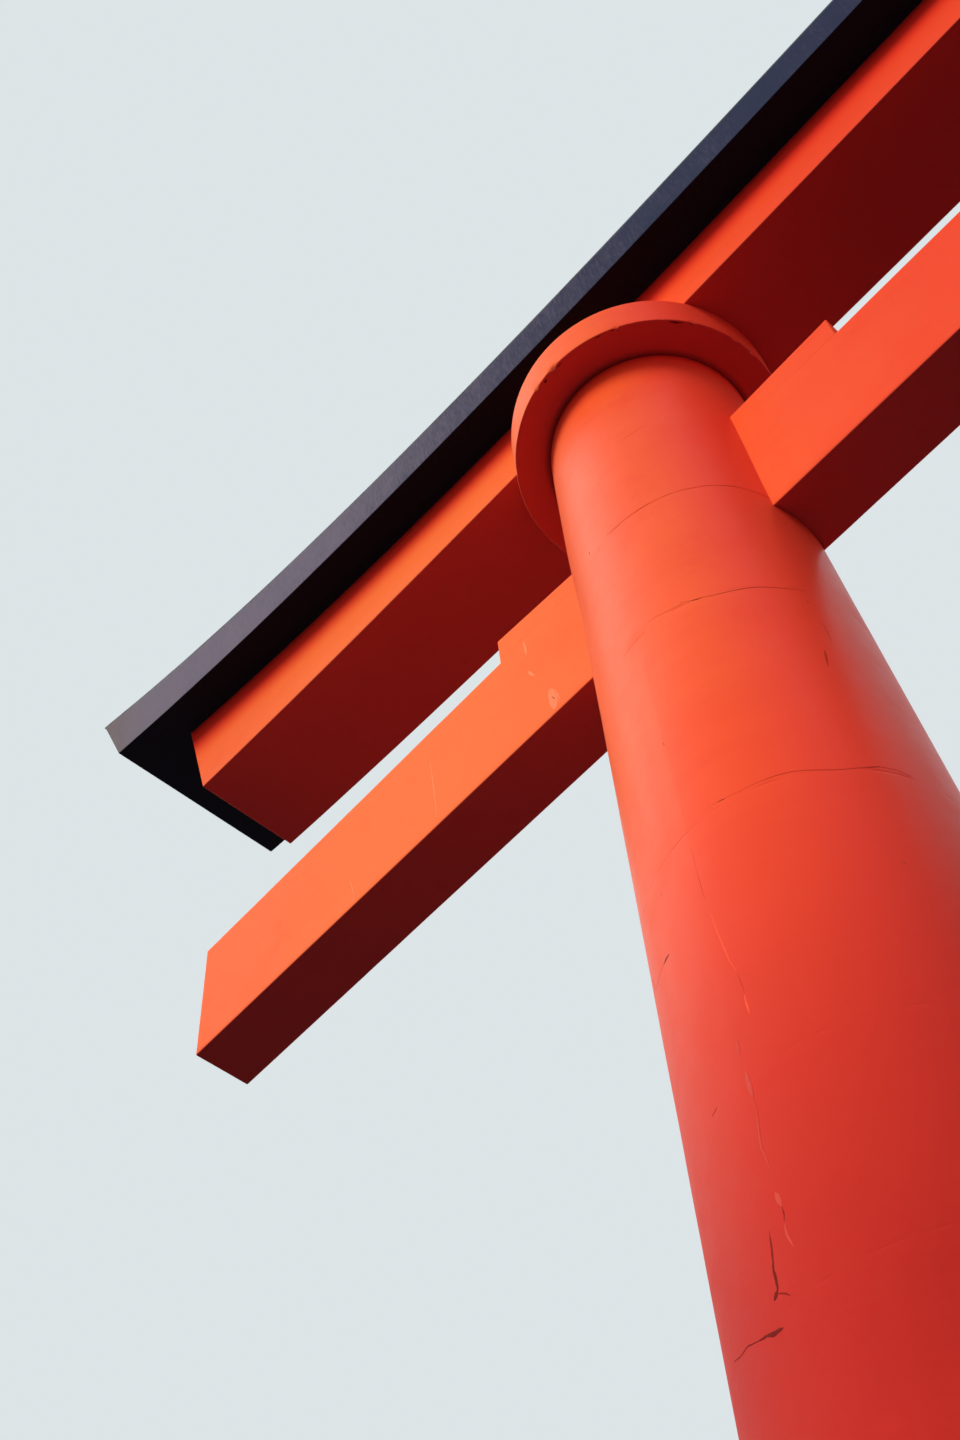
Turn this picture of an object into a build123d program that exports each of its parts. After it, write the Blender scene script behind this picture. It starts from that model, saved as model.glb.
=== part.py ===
from build123d import *
import os

# A myojin style torii gate of painted concrete, as an assembly of its cast and set pieces.
# Millimetres, +Z up, X along the beams, Y through the gate. The origin is on the ground,
# midway between the two pillars.

# Pillars
PILLAR_SPACING = 9000.0
PILLAR_RADIUS = 600.0
PILLAR_TAPER = 0.0185

# Casting joints: the upper ones are set down from the tie beam's underside, and the height
# below the last of them is cast in equal lifts
JOINT_DROPS = [4260.0, 3490.0, 2280.0, 900.0, -114.0]
EQUAL_LIFTS = 3

# Feet: a low domed stone and a dark sleeve round the pillar
STONE_RADIUS = 1150.0
STONE_SHOULDER_RADIUS = 900.0
STONE_RIM_HEIGHT = 90.0
STONE_HEIGHT = 300.0
STONE_DOME_RADIUS = 390.0
SLEEVE_TOP = 1250.0
SLEEVE_THICKNESS = 45.0
SLEEVE_CHAMFER = 25.0

# Tie beam through the pillars
TIE_UNDERSIDE = 8660.0
TIE_HEIGHT = 883.0
TIE_DEPTH = 356.0
TIE_OVERHANG = 3767.0

# Wedges on the tie beam, driven into the pillars from both sides
WEDGE_HEIGHT = 208.0
WEDGE_TIP_HEIGHT = 150.0
WEDGE_OVERHANG = 1212.0
WEDGE_TIP_REACH = 300.0
WEDGE_ROUNDING = 14.0

# Pillar caps
CAP_RADIUS = 777.0
CAP_HEIGHT = 313.0
CAP_ROUNDING = 12.0

# Centre strut
STRUT_WIDTH = 520.0
STRUT_DEPTH = 290.0

# Lower lintel: its sides are upright in the middle and flare at the top towards the ends
LINTEL_ABOVE_TIE = 1294.0
LINTEL_HEIGHT = 620.0
LINTEL_HALF_WIDTH = 370.0
LINTEL_OVERHANG = 3744.0
LINTEL_END_SLANT = 0.197

# Upper lintel with its roof
CROWN_HALF_WIDTH = 620.0
CROWN_FLARE = 0.12
CROWN_FACE_HEIGHT = 291.0
CROWN_OVERHANG = 4414.0
CROWN_END_SLANT = 0.36
ROOF_RISE = 170.0
ROOF_SHEET = 18.0
RIDGE_HALF_WIDTH = 110.0
RIDGE_HEIGHT = 55.0

# Upward sweep of the lintels: level in the middle, then rising and widening with this power
# of the distance from the start. Each gain is measured at the same station from the centre.
SWEEP_START = 1200.0
SWEEP_STATION = 8700.0
SWEEP_POWER = 3.3
LINTEL_RISE = 268.0
CROWN_RISE = 432.0
CROWN_TOP_RISE = 576.0
LINTEL_TOP_WIDENING = 69.0
CROWN_WIDENING = 61.0
SWEEP_STEPS = 9

PILLAR_AXIS = PILLAR_SPACING / 2
TIE_TOP = TIE_UNDERSIDE + TIE_HEIGHT
LINTEL_UNDERSIDE = TIE_TOP + LINTEL_ABOVE_TIE
CROWN_UNDERSIDE = LINTEL_UNDERSIDE + LINTEL_HEIGHT
PILLAR_TOP = LINTEL_UNDERSIDE - CAP_HEIGHT
SWEEP_REACH = PILLAR_AXIS + CROWN_OVERHANG + CROWN_FACE_HEIGHT + CROWN_TOP_RISE
TOOL_MARGIN = 400.0
TOOL_DEPTH = 4 * CROWN_HALF_WIDTH
SIDES = {"left": -1, "right": 1}


def pillar_radius(z):
    """Radius of the tapering pillar; the nominal one is at the tie beam's underside."""
    return PILLAR_RADIUS + PILLAR_TAPER * (TIE_UNDERSIDE - z)


def sweep(x, rise):
    """Height that a swept line gains at a distance x from the gate's centre."""
    outward = max(0.0, abs(x) - SWEEP_START) / (SWEEP_STATION - SWEEP_START)
    return rise * outward ** SWEEP_POWER


def sweep_stations():
    """Places along the gate where the swept lines and sections are set out."""
    step = (SWEEP_REACH - SWEEP_START) / SWEEP_STEPS
    outer = [SWEEP_START + step * i for i in range(SWEEP_STEPS + 1)]
    return [-x for x in reversed(outer)] + outer


def prism_xz(points, depth=TOOL_DEPTH):
    """A prism with its outline in the XZ plane, centred on the plane Y = 0."""
    outline = make_face(Polyline(points, close=True))
    return extrude(Plane.XZ * outline, depth / 2, both=True)


def swept_slab(bottom, bottom_rise, top, top_rise):
    """The space between two swept lines, carried straight through the gate."""
    stations = sweep_stations()
    low = Spline([(x, bottom + sweep(x, bottom_rise)) for x in stations])
    high = Spline([(x, top + sweep(x, top_rise)) for x in stations])
    ends = [Line(low @ 0, high @ 0), Line(low @ 1, high @ 1)]
    outline = make_face([low, high] + ends)
    return extrude(Plane.XZ * outline, TOOL_DEPTH / 2, both=True)


def end_trim(underside, rise, overhang, slant):
    """A prism that ends a swept beam on both sides with an outward slant."""
    reach = PILLAR_AXIS + overhang
    base = underside + sweep(reach, rise)
    low = underside - TOOL_MARGIN
    high = base + TOOL_MARGIN + SWEEP_REACH / 4
    half_low = reach + slant * (low - base)
    half_high = reach + slant * (high - base)
    points = [(-half_low, low), (half_low, low), (half_high, high), (-half_high, high)]
    return prism_xz(points)


def section_loft(section):
    """A smooth body through the same kind of section at every station."""
    faces = []
    for x in sweep_stations():
        outline = Polyline([(x, y, z) for y, z in section(x)], close=True)
        faces.append(make_face(outline))
    return loft(faces)


def lintel_section(x):
    """Trapezium whose sides flare outward by the widening, standing past the beam above and below."""
    base = LINTEL_UNDERSIDE + sweep(x, LINTEL_RISE)
    top = CROWN_UNDERSIDE + sweep(x, CROWN_RISE)
    widening = sweep(x, LINTEL_TOP_WIDENING)
    flare = widening / (top - base)
    half_low = LINTEL_HALF_WIDTH - flare * TOOL_MARGIN
    half_high = LINTEL_HALF_WIDTH + widening + flare * TOOL_MARGIN
    low = base - TOOL_MARGIN
    high = top + TOOL_MARGIN
    return [(-half_low, low), (half_low, low), (half_high, high), (-half_high, high)]


def crown_half_width(x):
    """Half width of the upper lintel's underside."""
    return CROWN_HALF_WIDTH + sweep(x, CROWN_WIDENING)


def crown_eave(x):
    """Half width and height of the upper lintel's top edge."""
    base = CROWN_UNDERSIDE + sweep(x, CROWN_RISE)
    eave = CROWN_UNDERSIDE + CROWN_FACE_HEIGHT + sweep(x, CROWN_TOP_RISE)
    return crown_half_width(x) + CROWN_FLARE * (eave - base), eave


def crown_section(x):
    """Five sided section of the upper lintel with its roof, standing past it below."""
    base = CROWN_UNDERSIDE + sweep(x, CROWN_RISE)
    low = base - TOOL_MARGIN
    half_low = crown_half_width(x) + CROWN_FLARE * (low - base)
    half_eave, eave = crown_eave(x)
    peak = eave + ROOF_RISE
    return [(-half_low, low), (half_low, low), (half_eave, eave), (0, peak), (-half_eave, eave)]


def core_section(x):
    """Section that parts the upper lintel's core from the roof sheets over it."""
    half_eave, eave = crown_eave(x)
    slope = ROOF_RISE / half_eave
    half = half_eave + TOOL_MARGIN
    low = CROWN_UNDERSIDE - TOOL_MARGIN - TOOL_MARGIN
    peak = eave + ROOF_RISE - ROOF_SHEET
    edge = peak - slope * half
    return [(-half, low), (half, low), (half, edge), (0, peak), (-half, edge)]


def ridge_section(x):
    """Low hipped strip along the top of the roof, standing down into it."""
    peak = crown_eave(x)[1] + ROOF_RISE
    low = peak - ROOF_RISE / 2
    shoulder = peak + RIDGE_HEIGHT / 2
    half = RIDGE_HALF_WIDTH
    return [(-half, low), (half, low), (half, shoulder), (0, peak + RIDGE_HEIGHT), (-half, shoulder)]


def pillar_piece(low, high):
    """One cast lift of the pillar, on the axis through the origin."""
    profile = [(0, low), (pillar_radius(low), low), (pillar_radius(high), high), (0, high)]
    return revolve(Plane.XZ * make_face(Polyline(profile, close=True)), Axis.Z)


def wedge_outline(side):
    """Outline in XZ of one wedge, its thick end outside the pillar; the pillar is at X = 0."""
    outer = side * WEDGE_OVERHANG
    inner = side * WEDGE_TIP_REACH
    return [
        (inner, TIE_TOP),
        (outer, TIE_TOP),
        (outer, TIE_TOP + WEDGE_HEIGHT),
        (inner, TIE_TOP + WEDGE_TIP_HEIGHT),
    ]


def wedge(side):
    """One wedge with a rounded upper outer edge."""
    body = prism_xz(wedge_outline(side), TIE_DEPTH)
    outer_face = body.faces().sort_by(Axis.X)[-1 if side > 0 else 0]
    return fillet(outer_face.edges().sort_by(Axis.Z)[-1], WEDGE_ROUNDING)


def mortise():
    """The hole through the pillar for the tie beam and the two wedges."""
    reach = 2 * WEDGE_OVERHANG
    tie = [(-reach, TIE_UNDERSIDE), (reach, TIE_UNDERSIDE), (reach, TIE_TOP), (-reach, TIE_TOP)]
    hole = prism_xz(tie, TIE_DEPTH)
    for side in SIDES.values():
        hole += prism_xz(wedge_outline(side), TIE_DEPTH)
    return hole


def lift_levels():
    """Heights of the lifts' ends, from the base stone up to the cap."""
    measured = [TIE_UNDERSIDE - drop for drop in JOINT_DROPS]
    step = (measured[0] - STONE_HEIGHT) / EQUAL_LIFTS
    equal = [STONE_HEIGHT + step * i for i in range(EQUAL_LIFTS)]
    return equal + measured + [PILLAR_TOP]


def base_stone():
    """A round stone with a low rim and a domed shoulder."""
    rim = (STONE_RADIUS, STONE_RIM_HEIGHT)
    shoulder = (STONE_SHOULDER_RADIUS, STONE_HEIGHT)
    flat = [(STONE_SHOULDER_RADIUS, STONE_HEIGHT), (0, STONE_HEIGHT), (0, 0), (STONE_RADIUS, 0), rim]
    dome = RadiusArc(rim, shoulder, -STONE_DOME_RADIUS)
    outline = make_face([Polyline(flat), dome])
    return revolve(Plane.XZ * outline, Axis.Z)


def foot_sleeve():
    """The dark sleeve round the pillar's foot, chamfered at its top."""
    low = STONE_HEIGHT
    outer_low = pillar_radius(low) + SLEEVE_THICKNESS
    outer_high = pillar_radius(SLEEVE_TOP) + SLEEVE_THICKNESS
    profile = [
        (pillar_radius(low), low),
        (outer_low, low),
        (outer_high, SLEEVE_TOP - SLEEVE_CHAMFER),
        (outer_high - SLEEVE_CHAMFER, SLEEVE_TOP),
        (pillar_radius(SLEEVE_TOP), SLEEVE_TOP),
    ]
    return revolve(Plane.XZ * make_face(Polyline(profile, close=True)), Axis.Z)


def pillar_cap():
    """The round cap that carries the lintel, with its edges eased."""
    disc = Pos(0, 0, PILLAR_TOP + CAP_HEIGHT / 2) * Cylinder(CAP_RADIUS, CAP_HEIGHT)
    return fillet(disc.edges().filter_by(GeomType.CIRCLE), CAP_ROUNDING)


def tie_beam():
    """The straight beam through both pillars."""
    half = PILLAR_AXIS + TIE_OVERHANG
    points = [(-half, TIE_UNDERSIDE), (half, TIE_UNDERSIDE), (half, TIE_TOP), (-half, TIE_TOP)]
    return prism_xz(points, TIE_DEPTH)


def centre_strut():
    """The short strut between the tie beam and the lower lintel."""
    half = STRUT_WIDTH / 2
    points = [(-half, TIE_TOP), (half, TIE_TOP), (half, LINTEL_UNDERSIDE), (-half, LINTEL_UNDERSIDE)]
    return prism_xz(points, STRUT_DEPTH)


def lower_lintel():
    """The flared, swept lower lintel with slanted ends."""
    slab = swept_slab(LINTEL_UNDERSIDE, LINTEL_RISE, CROWN_UNDERSIDE, CROWN_RISE)
    trim = end_trim(LINTEL_UNDERSIDE, LINTEL_RISE, LINTEL_OVERHANG, LINTEL_END_SLANT)
    return section_loft(lintel_section) & slab & trim


def upper_lintel():
    """The upper lintel's core, its two roof slopes and the ridge strip, seated on each other."""
    above = CROWN_UNDERSIDE + SWEEP_REACH / 4
    slab = swept_slab(CROWN_UNDERSIDE, CROWN_RISE, above, CROWN_RISE)
    trim = end_trim(CROWN_UNDERSIDE, CROWN_RISE, CROWN_OVERHANG, CROWN_END_SLANT)
    whole = section_loft(crown_section) & slab & trim
    parting = section_loft(core_section)
    core = whole & parting
    sheets = whole - parting
    ridge = (section_loft(ridge_section) & trim) - whole
    front_side = Pos(0, -TOOL_DEPTH / 2, 0) * Box(4 * SWEEP_REACH, TOOL_DEPTH, 4 * SWEEP_REACH)
    return core, sheets & front_side, sheets - front_side, ridge


def write(name, shape):
    export_step(shape, "parts/" + name + ".step")


def main():
    os.makedirs("parts", exist_ok=True)
    hole = mortise()
    levels = lift_levels()
    for name, side in SIDES.items():
        place = Pos(side * PILLAR_AXIS, 0, 0)
        write(name + "_base_stone", place * base_stone())
        write(name + "_foot_sleeve", place * foot_sleeve())
        for number, (low, high) in enumerate(zip(levels, levels[1:]), start=1):
            piece = pillar_piece(low, high)
            if high > TIE_UNDERSIDE:
                piece = piece - hole
            write(name + "_pillar_lift_" + str(number), place * piece)
        write(name + "_pillar_cap", place * pillar_cap())
        for end, direction in SIDES.items():
            write(name + "_pillar_" + end + "_wedge", place * wedge(direction))
    write("tie_beam", tie_beam())
    write("centre_strut", centre_strut())
    write("lower_lintel", lower_lintel())
    core, front, back, ridge = upper_lintel()
    write("upper_lintel_core", core)
    write("roof_front_slope", front)
    write("roof_back_slope", back)
    write("roof_ridge", ridge)


main()
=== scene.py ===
import functools
import math

import bmesh
import bpy
import numpy as np
from bpy.props import FloatProperty, FloatVectorProperty, IntProperty, PointerProperty
from mathutils import Euler, Matrix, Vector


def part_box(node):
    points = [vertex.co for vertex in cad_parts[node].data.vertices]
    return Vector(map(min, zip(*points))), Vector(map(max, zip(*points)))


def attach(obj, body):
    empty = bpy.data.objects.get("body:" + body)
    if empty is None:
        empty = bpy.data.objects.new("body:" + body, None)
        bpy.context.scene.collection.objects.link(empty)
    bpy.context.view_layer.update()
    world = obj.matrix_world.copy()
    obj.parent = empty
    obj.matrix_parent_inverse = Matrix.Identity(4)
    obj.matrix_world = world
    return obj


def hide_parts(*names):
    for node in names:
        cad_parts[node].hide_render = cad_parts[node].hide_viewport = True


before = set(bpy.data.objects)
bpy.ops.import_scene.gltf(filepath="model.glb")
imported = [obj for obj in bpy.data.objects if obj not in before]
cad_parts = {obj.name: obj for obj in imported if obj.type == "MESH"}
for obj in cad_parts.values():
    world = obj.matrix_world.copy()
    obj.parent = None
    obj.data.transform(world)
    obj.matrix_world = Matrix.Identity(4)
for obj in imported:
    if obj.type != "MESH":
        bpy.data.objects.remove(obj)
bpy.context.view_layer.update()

bl_info = {
    "name": "Torii Gate",
    "version": (1, 0, 0),
    "blender": (4, 5, 0),
    "location": "View3D > Sidebar > Torii",
    "description": "Builds the painted concrete torii gate over its construction frame",
    "category": "Object",
}

BODY = "root"
SIDES = {"left": -1, "right": 1}
LIFTS = 8

# Places read from the frame, in metres
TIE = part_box("tie_beam")
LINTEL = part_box("lower_lintel")
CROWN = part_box("upper_lintel_core")
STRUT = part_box("centre_strut")
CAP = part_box("left_pillar_cap")
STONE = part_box("left_base_stone")
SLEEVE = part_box("left_foot_sleeve")
PILLAR_AXIS = -(CAP[0][0] + CAP[1][0]) / 2


def lift_box(number):
    """Box of one cast lift; both pillars are cast alike."""
    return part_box("left_pillar_lift_" + str(number))


def lift_radius(number):
    """Radius at the foot of a lift; across Y, where no mortise cuts into it."""
    low, high = lift_box(number)
    return (high[1] - low[1]) / 2


def lift_foot(number):
    """Height of the foot of a lift."""
    return lift_box(number)[0][2]


# The tie beam passes through the lifts from this one up
FIRST_MORTISED = LIFTS - 1
FOOT_RADIUS = lift_radius(1)
TAPER = (FOOT_RADIUS - lift_radius(FIRST_MORTISED)) / (lift_foot(FIRST_MORTISED) - lift_foot(1))
PILLAR_TOP = lift_box(LIFTS)[1][2]

# Where a pillar's head begins to swell, and over what height
HEAD_FOOT = TIE[0][2] - 0.06
HEAD_HEIGHT = 1.1

# A casting joint's rings over its level, the groove's half height, the reach of its wander, and
# the last of the joints that the paint nearly fills
JOINT_RINGS = np.array([0, 0.0015, 0.004, 0.012, 0.04])
GROOVE_HALF = 0.0045
WANDER_REACH = 0.2
LAST_FILLED_JOINT = 5

# Cosine, round a pillar from its sunny side, of the mould's upright seam, and its soft edge
SEAM_COSINE = 0.661
SEAM_EDGE = 0.012

# Rounds in which the place and the height of a slanted end settle
BEAM_ROUNDS = 5
ROOF_ROUNDS = 8


def ratio(name, description, default):
    """A number without a unit."""
    return FloatProperty(name=name, description=description, default=default)


def length(name, description, default):
    """A length in metres."""
    return FloatProperty(name=name, description=description, default=default, unit="LENGTH")


def tint(name, description, *default):
    """A linear colour."""
    return FloatVectorProperty(name=name, description=description, default=default, subtype="COLOR")


class GateSizes(bpy.types.PropertyGroup):
    """Sizes of the swept lintels, the eased edges and the wear."""
    sweep_start: length("Sweep start", "Distance from the centre where the lintels begin to rise", 1.2)
    sweep_station: length("Sweep station", "Distance from the centre at which the rises are measured", 8.7)
    sweep_power: ratio("Sweep power", "Power of the distance with which the lintels rise", 3.3)
    lintel_rise: length("Lintel rise", "Rise of the lower lintel's underside at the station", 0.268)
    crown_rise: length("Crown rise", "Rise of the upper lintel's underside at the station", 0.432)
    eave_rise: length("Eave rise", "Rise of the upper lintel's top edge at the station", 0.576)
    crown_face: length("Crown face", "Height of the upper lintel's face at the centre", 0.291)
    lintel_half: length("Lintel half width", "Half width of the lower lintel's underside", 0.370)
    lintel_widening: length("Lintel widening", "Gain of its top half width at the station", 0.069)
    crown_half: length("Crown half width", "Half width of the upper lintel's underside", 0.620)
    crown_widening: length("Crown widening", "Gain of the upper lintel's half width at the station", 0.061)
    crown_flare: ratio("Crown flare", "Outward lean of the upper lintel's faces for each metre up", 0.12)
    lintel_overhang: length("Lintel overhang", "Lower lintel's underside past the pillar's axis", 3.744)
    crown_overhang: length("Crown overhang", "Upper lintel's underside past the pillar's axis", 4.414)
    lintel_slant: ratio("Lintel end slant", "Outward lean of the lower lintel's ends", 0.197)
    crown_slant: ratio("Crown end slant", "Outward lean of the upper lintel's ends", 0.36)
    roof_rise: length("Roof rise", "Height of the roof's ridge over its eaves", 0.17)
    sheet: length("Sheet", "Thickness of the roof sheets with their boards", 0.018)
    ridge_half: length("Ridge half width", "Half width of the ridge strip", 0.11)
    ridge_height: length("Ridge height", "Height of the ridge strip over the roof", 0.055)
    seam_pitch: length("Seam pitch", "Distance between the roof's standing seams", 0.62)
    seam_height: length("Seam height", "Height of a standing seam", 0.02)
    ease: length("Eased edge", "Radius of the beams' worn arrises", 0.006)
    ripple: length("Ripple", "Unevenness of the cast and painted faces", 0.0009)
    around: IntProperty(name="Facets round", description="Facets round a pillar", default=288)
    joint_depth: length("Joint depth", "Depth of the painted casting joints", 0.0012)
    head_swell: length("Head swell", "Gain of a pillar's radius from the tie beam to its cap", 0.013)
    joint_wander: length("Joint wander", "How far a casting joint wanders from its level", 0.002)


class GateFinish(bpy.types.PropertyGroup):
    """Colours of the paints with their painted light and shade, the stone and the stage."""
    vermilion: tint("Vermilion", "Main colour of the paint", 0.93, 0.094, 0.021)
    vermilion_pale: tint("Faded vermilion", "Paint where it has faded", 0.96, 0.130, 0.034)
    vermilion_deep: tint("Deep vermilion", "Paint where it is thickest", 0.81, 0.058, 0.021)
    # Painted shade: the pillars grow redder from halfway down and darker towards their feet
    vermilion_low: tint("Low vermilion", "Older paint low on the pillars", 0.41, 0.014, 0.014)
    vermilion_lower: tint("Lower vermilion", "Redder paint on the pillars' lower half", 0.88, 0.048, 0.028)
    # Painted highlight on the pillars' lit side, in a colour that also marks the paler side of the mould's
    # seam; painted shade, redder, on their far side
    vermilion_bleached: tint("Bleached vermilion", "Paler paint on the pillars' sunny side",
                             0.97, 0.180, 0.070)
    vermilion_away: tint("Vermilion away from the sun", "Redder paint on the pillars' less sunny side",
                         0.97, 0.062, 0.032)
    # Painted highlight: the beams' front faces paler towards their ends
    vermilion_sunned: tint("Sunned vermilion", "Paint bleached by the sun at the beams' ends",
                           0.97, 0.198, 0.044)
    # Paint kept from fading, and painted shade: redder where the caps and the upper lintel cast their
    # shadows
    vermilion_eaves: tint("Vermilion under the eaves", "Paint that the upper lintel has kept from fading",
                          0.92, 0.024, 0.014)
    # Painted shade: the darker, bluer tone of the undersides
    vermilion_shaded: tint("Shaded vermilion", "Paint of the undersides", 0.74, 0.082, 0.085)
    # Painted shade: the dark tone laid in the creases where the pillars meet the caps and the undersides,
    # and on the lower lintel's underside towards the gate's middle
    grime: tint("Grime", "Dirt in the creases", 0.050, 0.007, 0.013)
    # The dark paint's blue tint is partly painted sky reflection; the paling towards the ends is
    # weathering and painted sheen
    crown_dark: tint("Crown dark", "Dark paint of the upper lintel", 0.016, 0.022, 0.062)
    crown_worn: tint("Crown worn", "Weathered paint of the upper lintel", 0.180, 0.156, 0.212)
    crown_tip: tint("Crown tip", "Weathered paint at the upper lintel's tips", 0.190, 0.150, 0.158)
    granite: tint("Granite", "Colour of the base stones", 0.42, 0.40, 0.37)
    foot: tint("Foot paint", "Colour of the feet's sleeves", 0.018, 0.018, 0.022)
    backdrop: tint("Backdrop", "Colour behind the gate", 0.72, 0.78, 0.80)
    floor: tint("Floor", "Colour of the pale floor", 0.66, 0.67, 0.68)


class StageSettings(bpy.types.PropertyGroup):
    """The camera at the photograph's viewing angle, and the light."""
    camera_place: FloatVectorProperty(
        name="Camera place", description="Where the photographer stood", subtype="TRANSLATION",
        default=(-2.607, -3.756, 1.599))
    camera_azimuth: ratio("Camera azimuth", "Turn of the view from +Y towards -X", 42.474)
    camera_elevation: ratio("Camera elevation", "View above the horizon", 57.469)
    camera_roll: ratio("Camera roll", "Roll about the view", -6.537)
    lens: ratio("Lens", "Focal length on a 36 mm tall frame", 42.978)
    key_azimuth: ratio("Key azimuth", "Direction of the key light, from -Y towards -X", 12.0)
    key_elevation: ratio("Key elevation", "Key light above the horizon", 42.0)
    key_strength: ratio("Key strength", "Strength of the key light", 3.0)
    key_angle: ratio("Key angle", "Apparent size of the key light", 26.0)
    side_azimuth: ratio("Side azimuth", "Direction of the broad light from the left", 76.0)
    side_elevation: ratio("Side elevation", "Broad light above the horizon", 60.0)
    side_strength: ratio("Side strength", "Strength of the broad light", 0.5)
    side_angle: ratio("Side angle", "Apparent size of the broad light", 48.0)
    sky_strength: ratio("Sky strength", "Strength of the sky's fill", 0.95)


def sizes():
    return bpy.context.scene.gate_sizes


def finish():
    return bpy.context.scene.gate_finish


# Numpy helpers


def lattice_noise(points, cell, seed=0.0):
    """Smooth noise from 0 to 1: a hashed value at each corner of a lattice of the given cell,
    blended between the eight corners with 3t^2 - 2t^3."""
    hash_way, hash_gain = np.array([12.9898, 78.233, 37.719]), 43758.5453
    scaled = points / cell + seed
    base = np.floor(scaled)
    part = scaled - base
    part = part * part * (3 - 2 * part)
    total = np.zeros(points.shape[:-1])
    for corner in np.ndindex(2, 2, 2):
        value = np.sin((base + np.array(corner)) @ hash_way) * hash_gain
        weight = np.prod(np.where(np.array(corner) == 1, part, 1 - part), axis=-1)
        total += (value - np.floor(value)) * weight
    return total


def ripple(points):
    """Displacement of a hand finished face: two octaves of lattice noise about zero."""
    coarse = lattice_noise(points, 0.42) - 0.5
    fine = lattice_noise(points, 0.13, 7.0) - 0.5
    return sizes().ripple * (2 * coarse + fine)


def round_noise(angle, seed, low=3, high=41, count=14):
    """Periodic noise about zero round a pillar: a sum of waves of whole number frequency."""
    source = np.random.default_rng(seed)
    waves = source.integers(low, high, count)
    phases = source.uniform(0, 2 * math.pi, count)
    return np.sin(angle[..., None] * waves + phases).sum(axis=-1) / math.sqrt(count / 2)


def on_circle(angle, radius, z, centre=0.0):
    """Points round an upright axis: x = centre + r cos t, y = r sin t."""
    return np.stack([centre + radius * np.cos(angle), radius * np.sin(angle), z], axis=-1)


def grid_quads(rows, columns, closed=False):
    """Quads over rings of points, each ring joined to itself, and the last to the first if closed."""
    row = np.arange(rows if closed else rows - 1)[:, None]
    column = np.arange(columns)[None, :]
    below, after = (row + 1) % rows, (column + 1) % columns
    quads = np.stack([row * columns + column, row * columns + after,
                      below * columns + after, below * columns + column], axis=-1)
    return quads.reshape(-1, 4)


def closed_surface(points):
    """Vertices and faces of a closed body from rings of points: quads between the rings and a
    fan to the middle of the first and of the last ring."""
    rows, columns = points.shape[:2]
    flat = points.reshape(-1, 3)
    middles = np.stack([points[0].mean(axis=0), points[-1].mean(axis=0)])
    ring = np.arange(columns)
    after = (ring + 1) % columns
    top = (rows - 1) * columns
    first = np.stack([np.full(columns, len(flat)), after, ring], axis=-1)
    last = np.stack([np.full(columns, len(flat) + 1), top + ring, top + after], axis=-1)
    return np.concatenate([flat, middles]), [grid_quads(rows, columns), first, last]


def signed_volume(vertices, faces):
    """Volume inside the faces, positive where they point outwards: the sum over the fans of
    v0 . (v1 x v2) / 6."""
    total = 0.0
    for group in faces:
        for i in range(1, group.shape[1] - 1):
            a, b, c = vertices[group[:, 0]], vertices[group[:, i]], vertices[group[:, i + 1]]
            total += np.einsum("ij,ij->", a, np.cross(b, c)) / 6
    return total


PILLAR_PAINT = "vermilion pillar paint"
CAP_PAINT = "vermilion cap paint"
BEAM_PAINT = "vermilion beam paint"
# Painted shade: a darker, bluer copy of the vermilion for the faces that look down
SHADED_UNDERSIDE_PAINT = "vermilion underside paint"
MATERIALS = {}

# A face whose normal's Z is below this looks down
LOOKS_DOWN = -0.7


def add_piece(name, surface, finish_name, replaced=(), sharp=32.0, under=None):
    """Puts a closed surface into a mesh piece that rides on the gate and replaces CAD nodes. Its
    faces that look down may have another finish, such as the painted shade of the vermilion undersides."""
    vertices, faces = surface
    if signed_volume(vertices, faces) < 0:
        faces = [group[:, ::-1] for group in faces]
    mesh = bpy.data.meshes.new(name)
    mesh.from_pydata(vertices.tolist(), [], [face for group in faces for face in group.tolist()])
    mesh.shade_smooth()
    mesh.set_sharp_from_angle(angle=math.radians(sharp))
    mesh.materials.append(MATERIALS[finish_name])
    mesh.update()
    if under is not None:
        mesh.materials.append(MATERIALS[under])
        normals = np.empty(3 * len(mesh.polygons))
        mesh.polygons.foreach_get("normal", normals)
        mesh.polygons.foreach_set("material_index", (normals[2::3] < LOOKS_DOWN).astype(np.int32))
    piece = bpy.data.objects.new(name, mesh)
    bpy.context.scene.collection.objects.link(piece)
    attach(piece, BODY)
    if replaced:
        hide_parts(*replaced)
    return piece


# Forms of the gate


def sweep(x, rise):
    """Height gained at x: rise times ((|x| - start) / (station - start)) to the sweep's power."""
    s = sizes()
    outward = np.maximum(np.abs(x) - s.sweep_start, 0) / (s.sweep_station - s.sweep_start)
    return rise * outward ** s.sweep_power


def eased_ring(across, up, corner=4):
    """A rounded rectangle's ring, as four rows: place across from -1 to 1, place up from 0 to 1,
    and the two parts of the outward normal. Quarter turns stand at the corners."""
    def side(a0, b0, a1, b1, normal, count):
        t = (np.arange(count) + 0.5) / count
        return np.stack([a0 + (a1 - a0) * t, b0 + (b1 - b0) * t,
                         np.full(count, normal[0]), np.full(count, normal[1])])

    def turn(a, b, start):
        angle = start + np.linspace(0, quarter, corner)
        return np.stack([np.full(corner, a), np.full(corner, b), np.cos(angle), np.sin(angle)])

    quarter = math.pi / 2
    return np.concatenate([
        side(-1, 0, 1, 0, (0, -1), across), turn(1, 0, -quarter),
        side(1, 0, 1, 1, (1, 0), up), turn(1, 1, 0),
        side(1, 1, -1, 1, (0, 1), across), turn(-1, 1, quarter),
        side(-1, 1, -1, 0, (-1, 0), up), turn(-1, 0, 2 * quarter)], axis=1)


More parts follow.
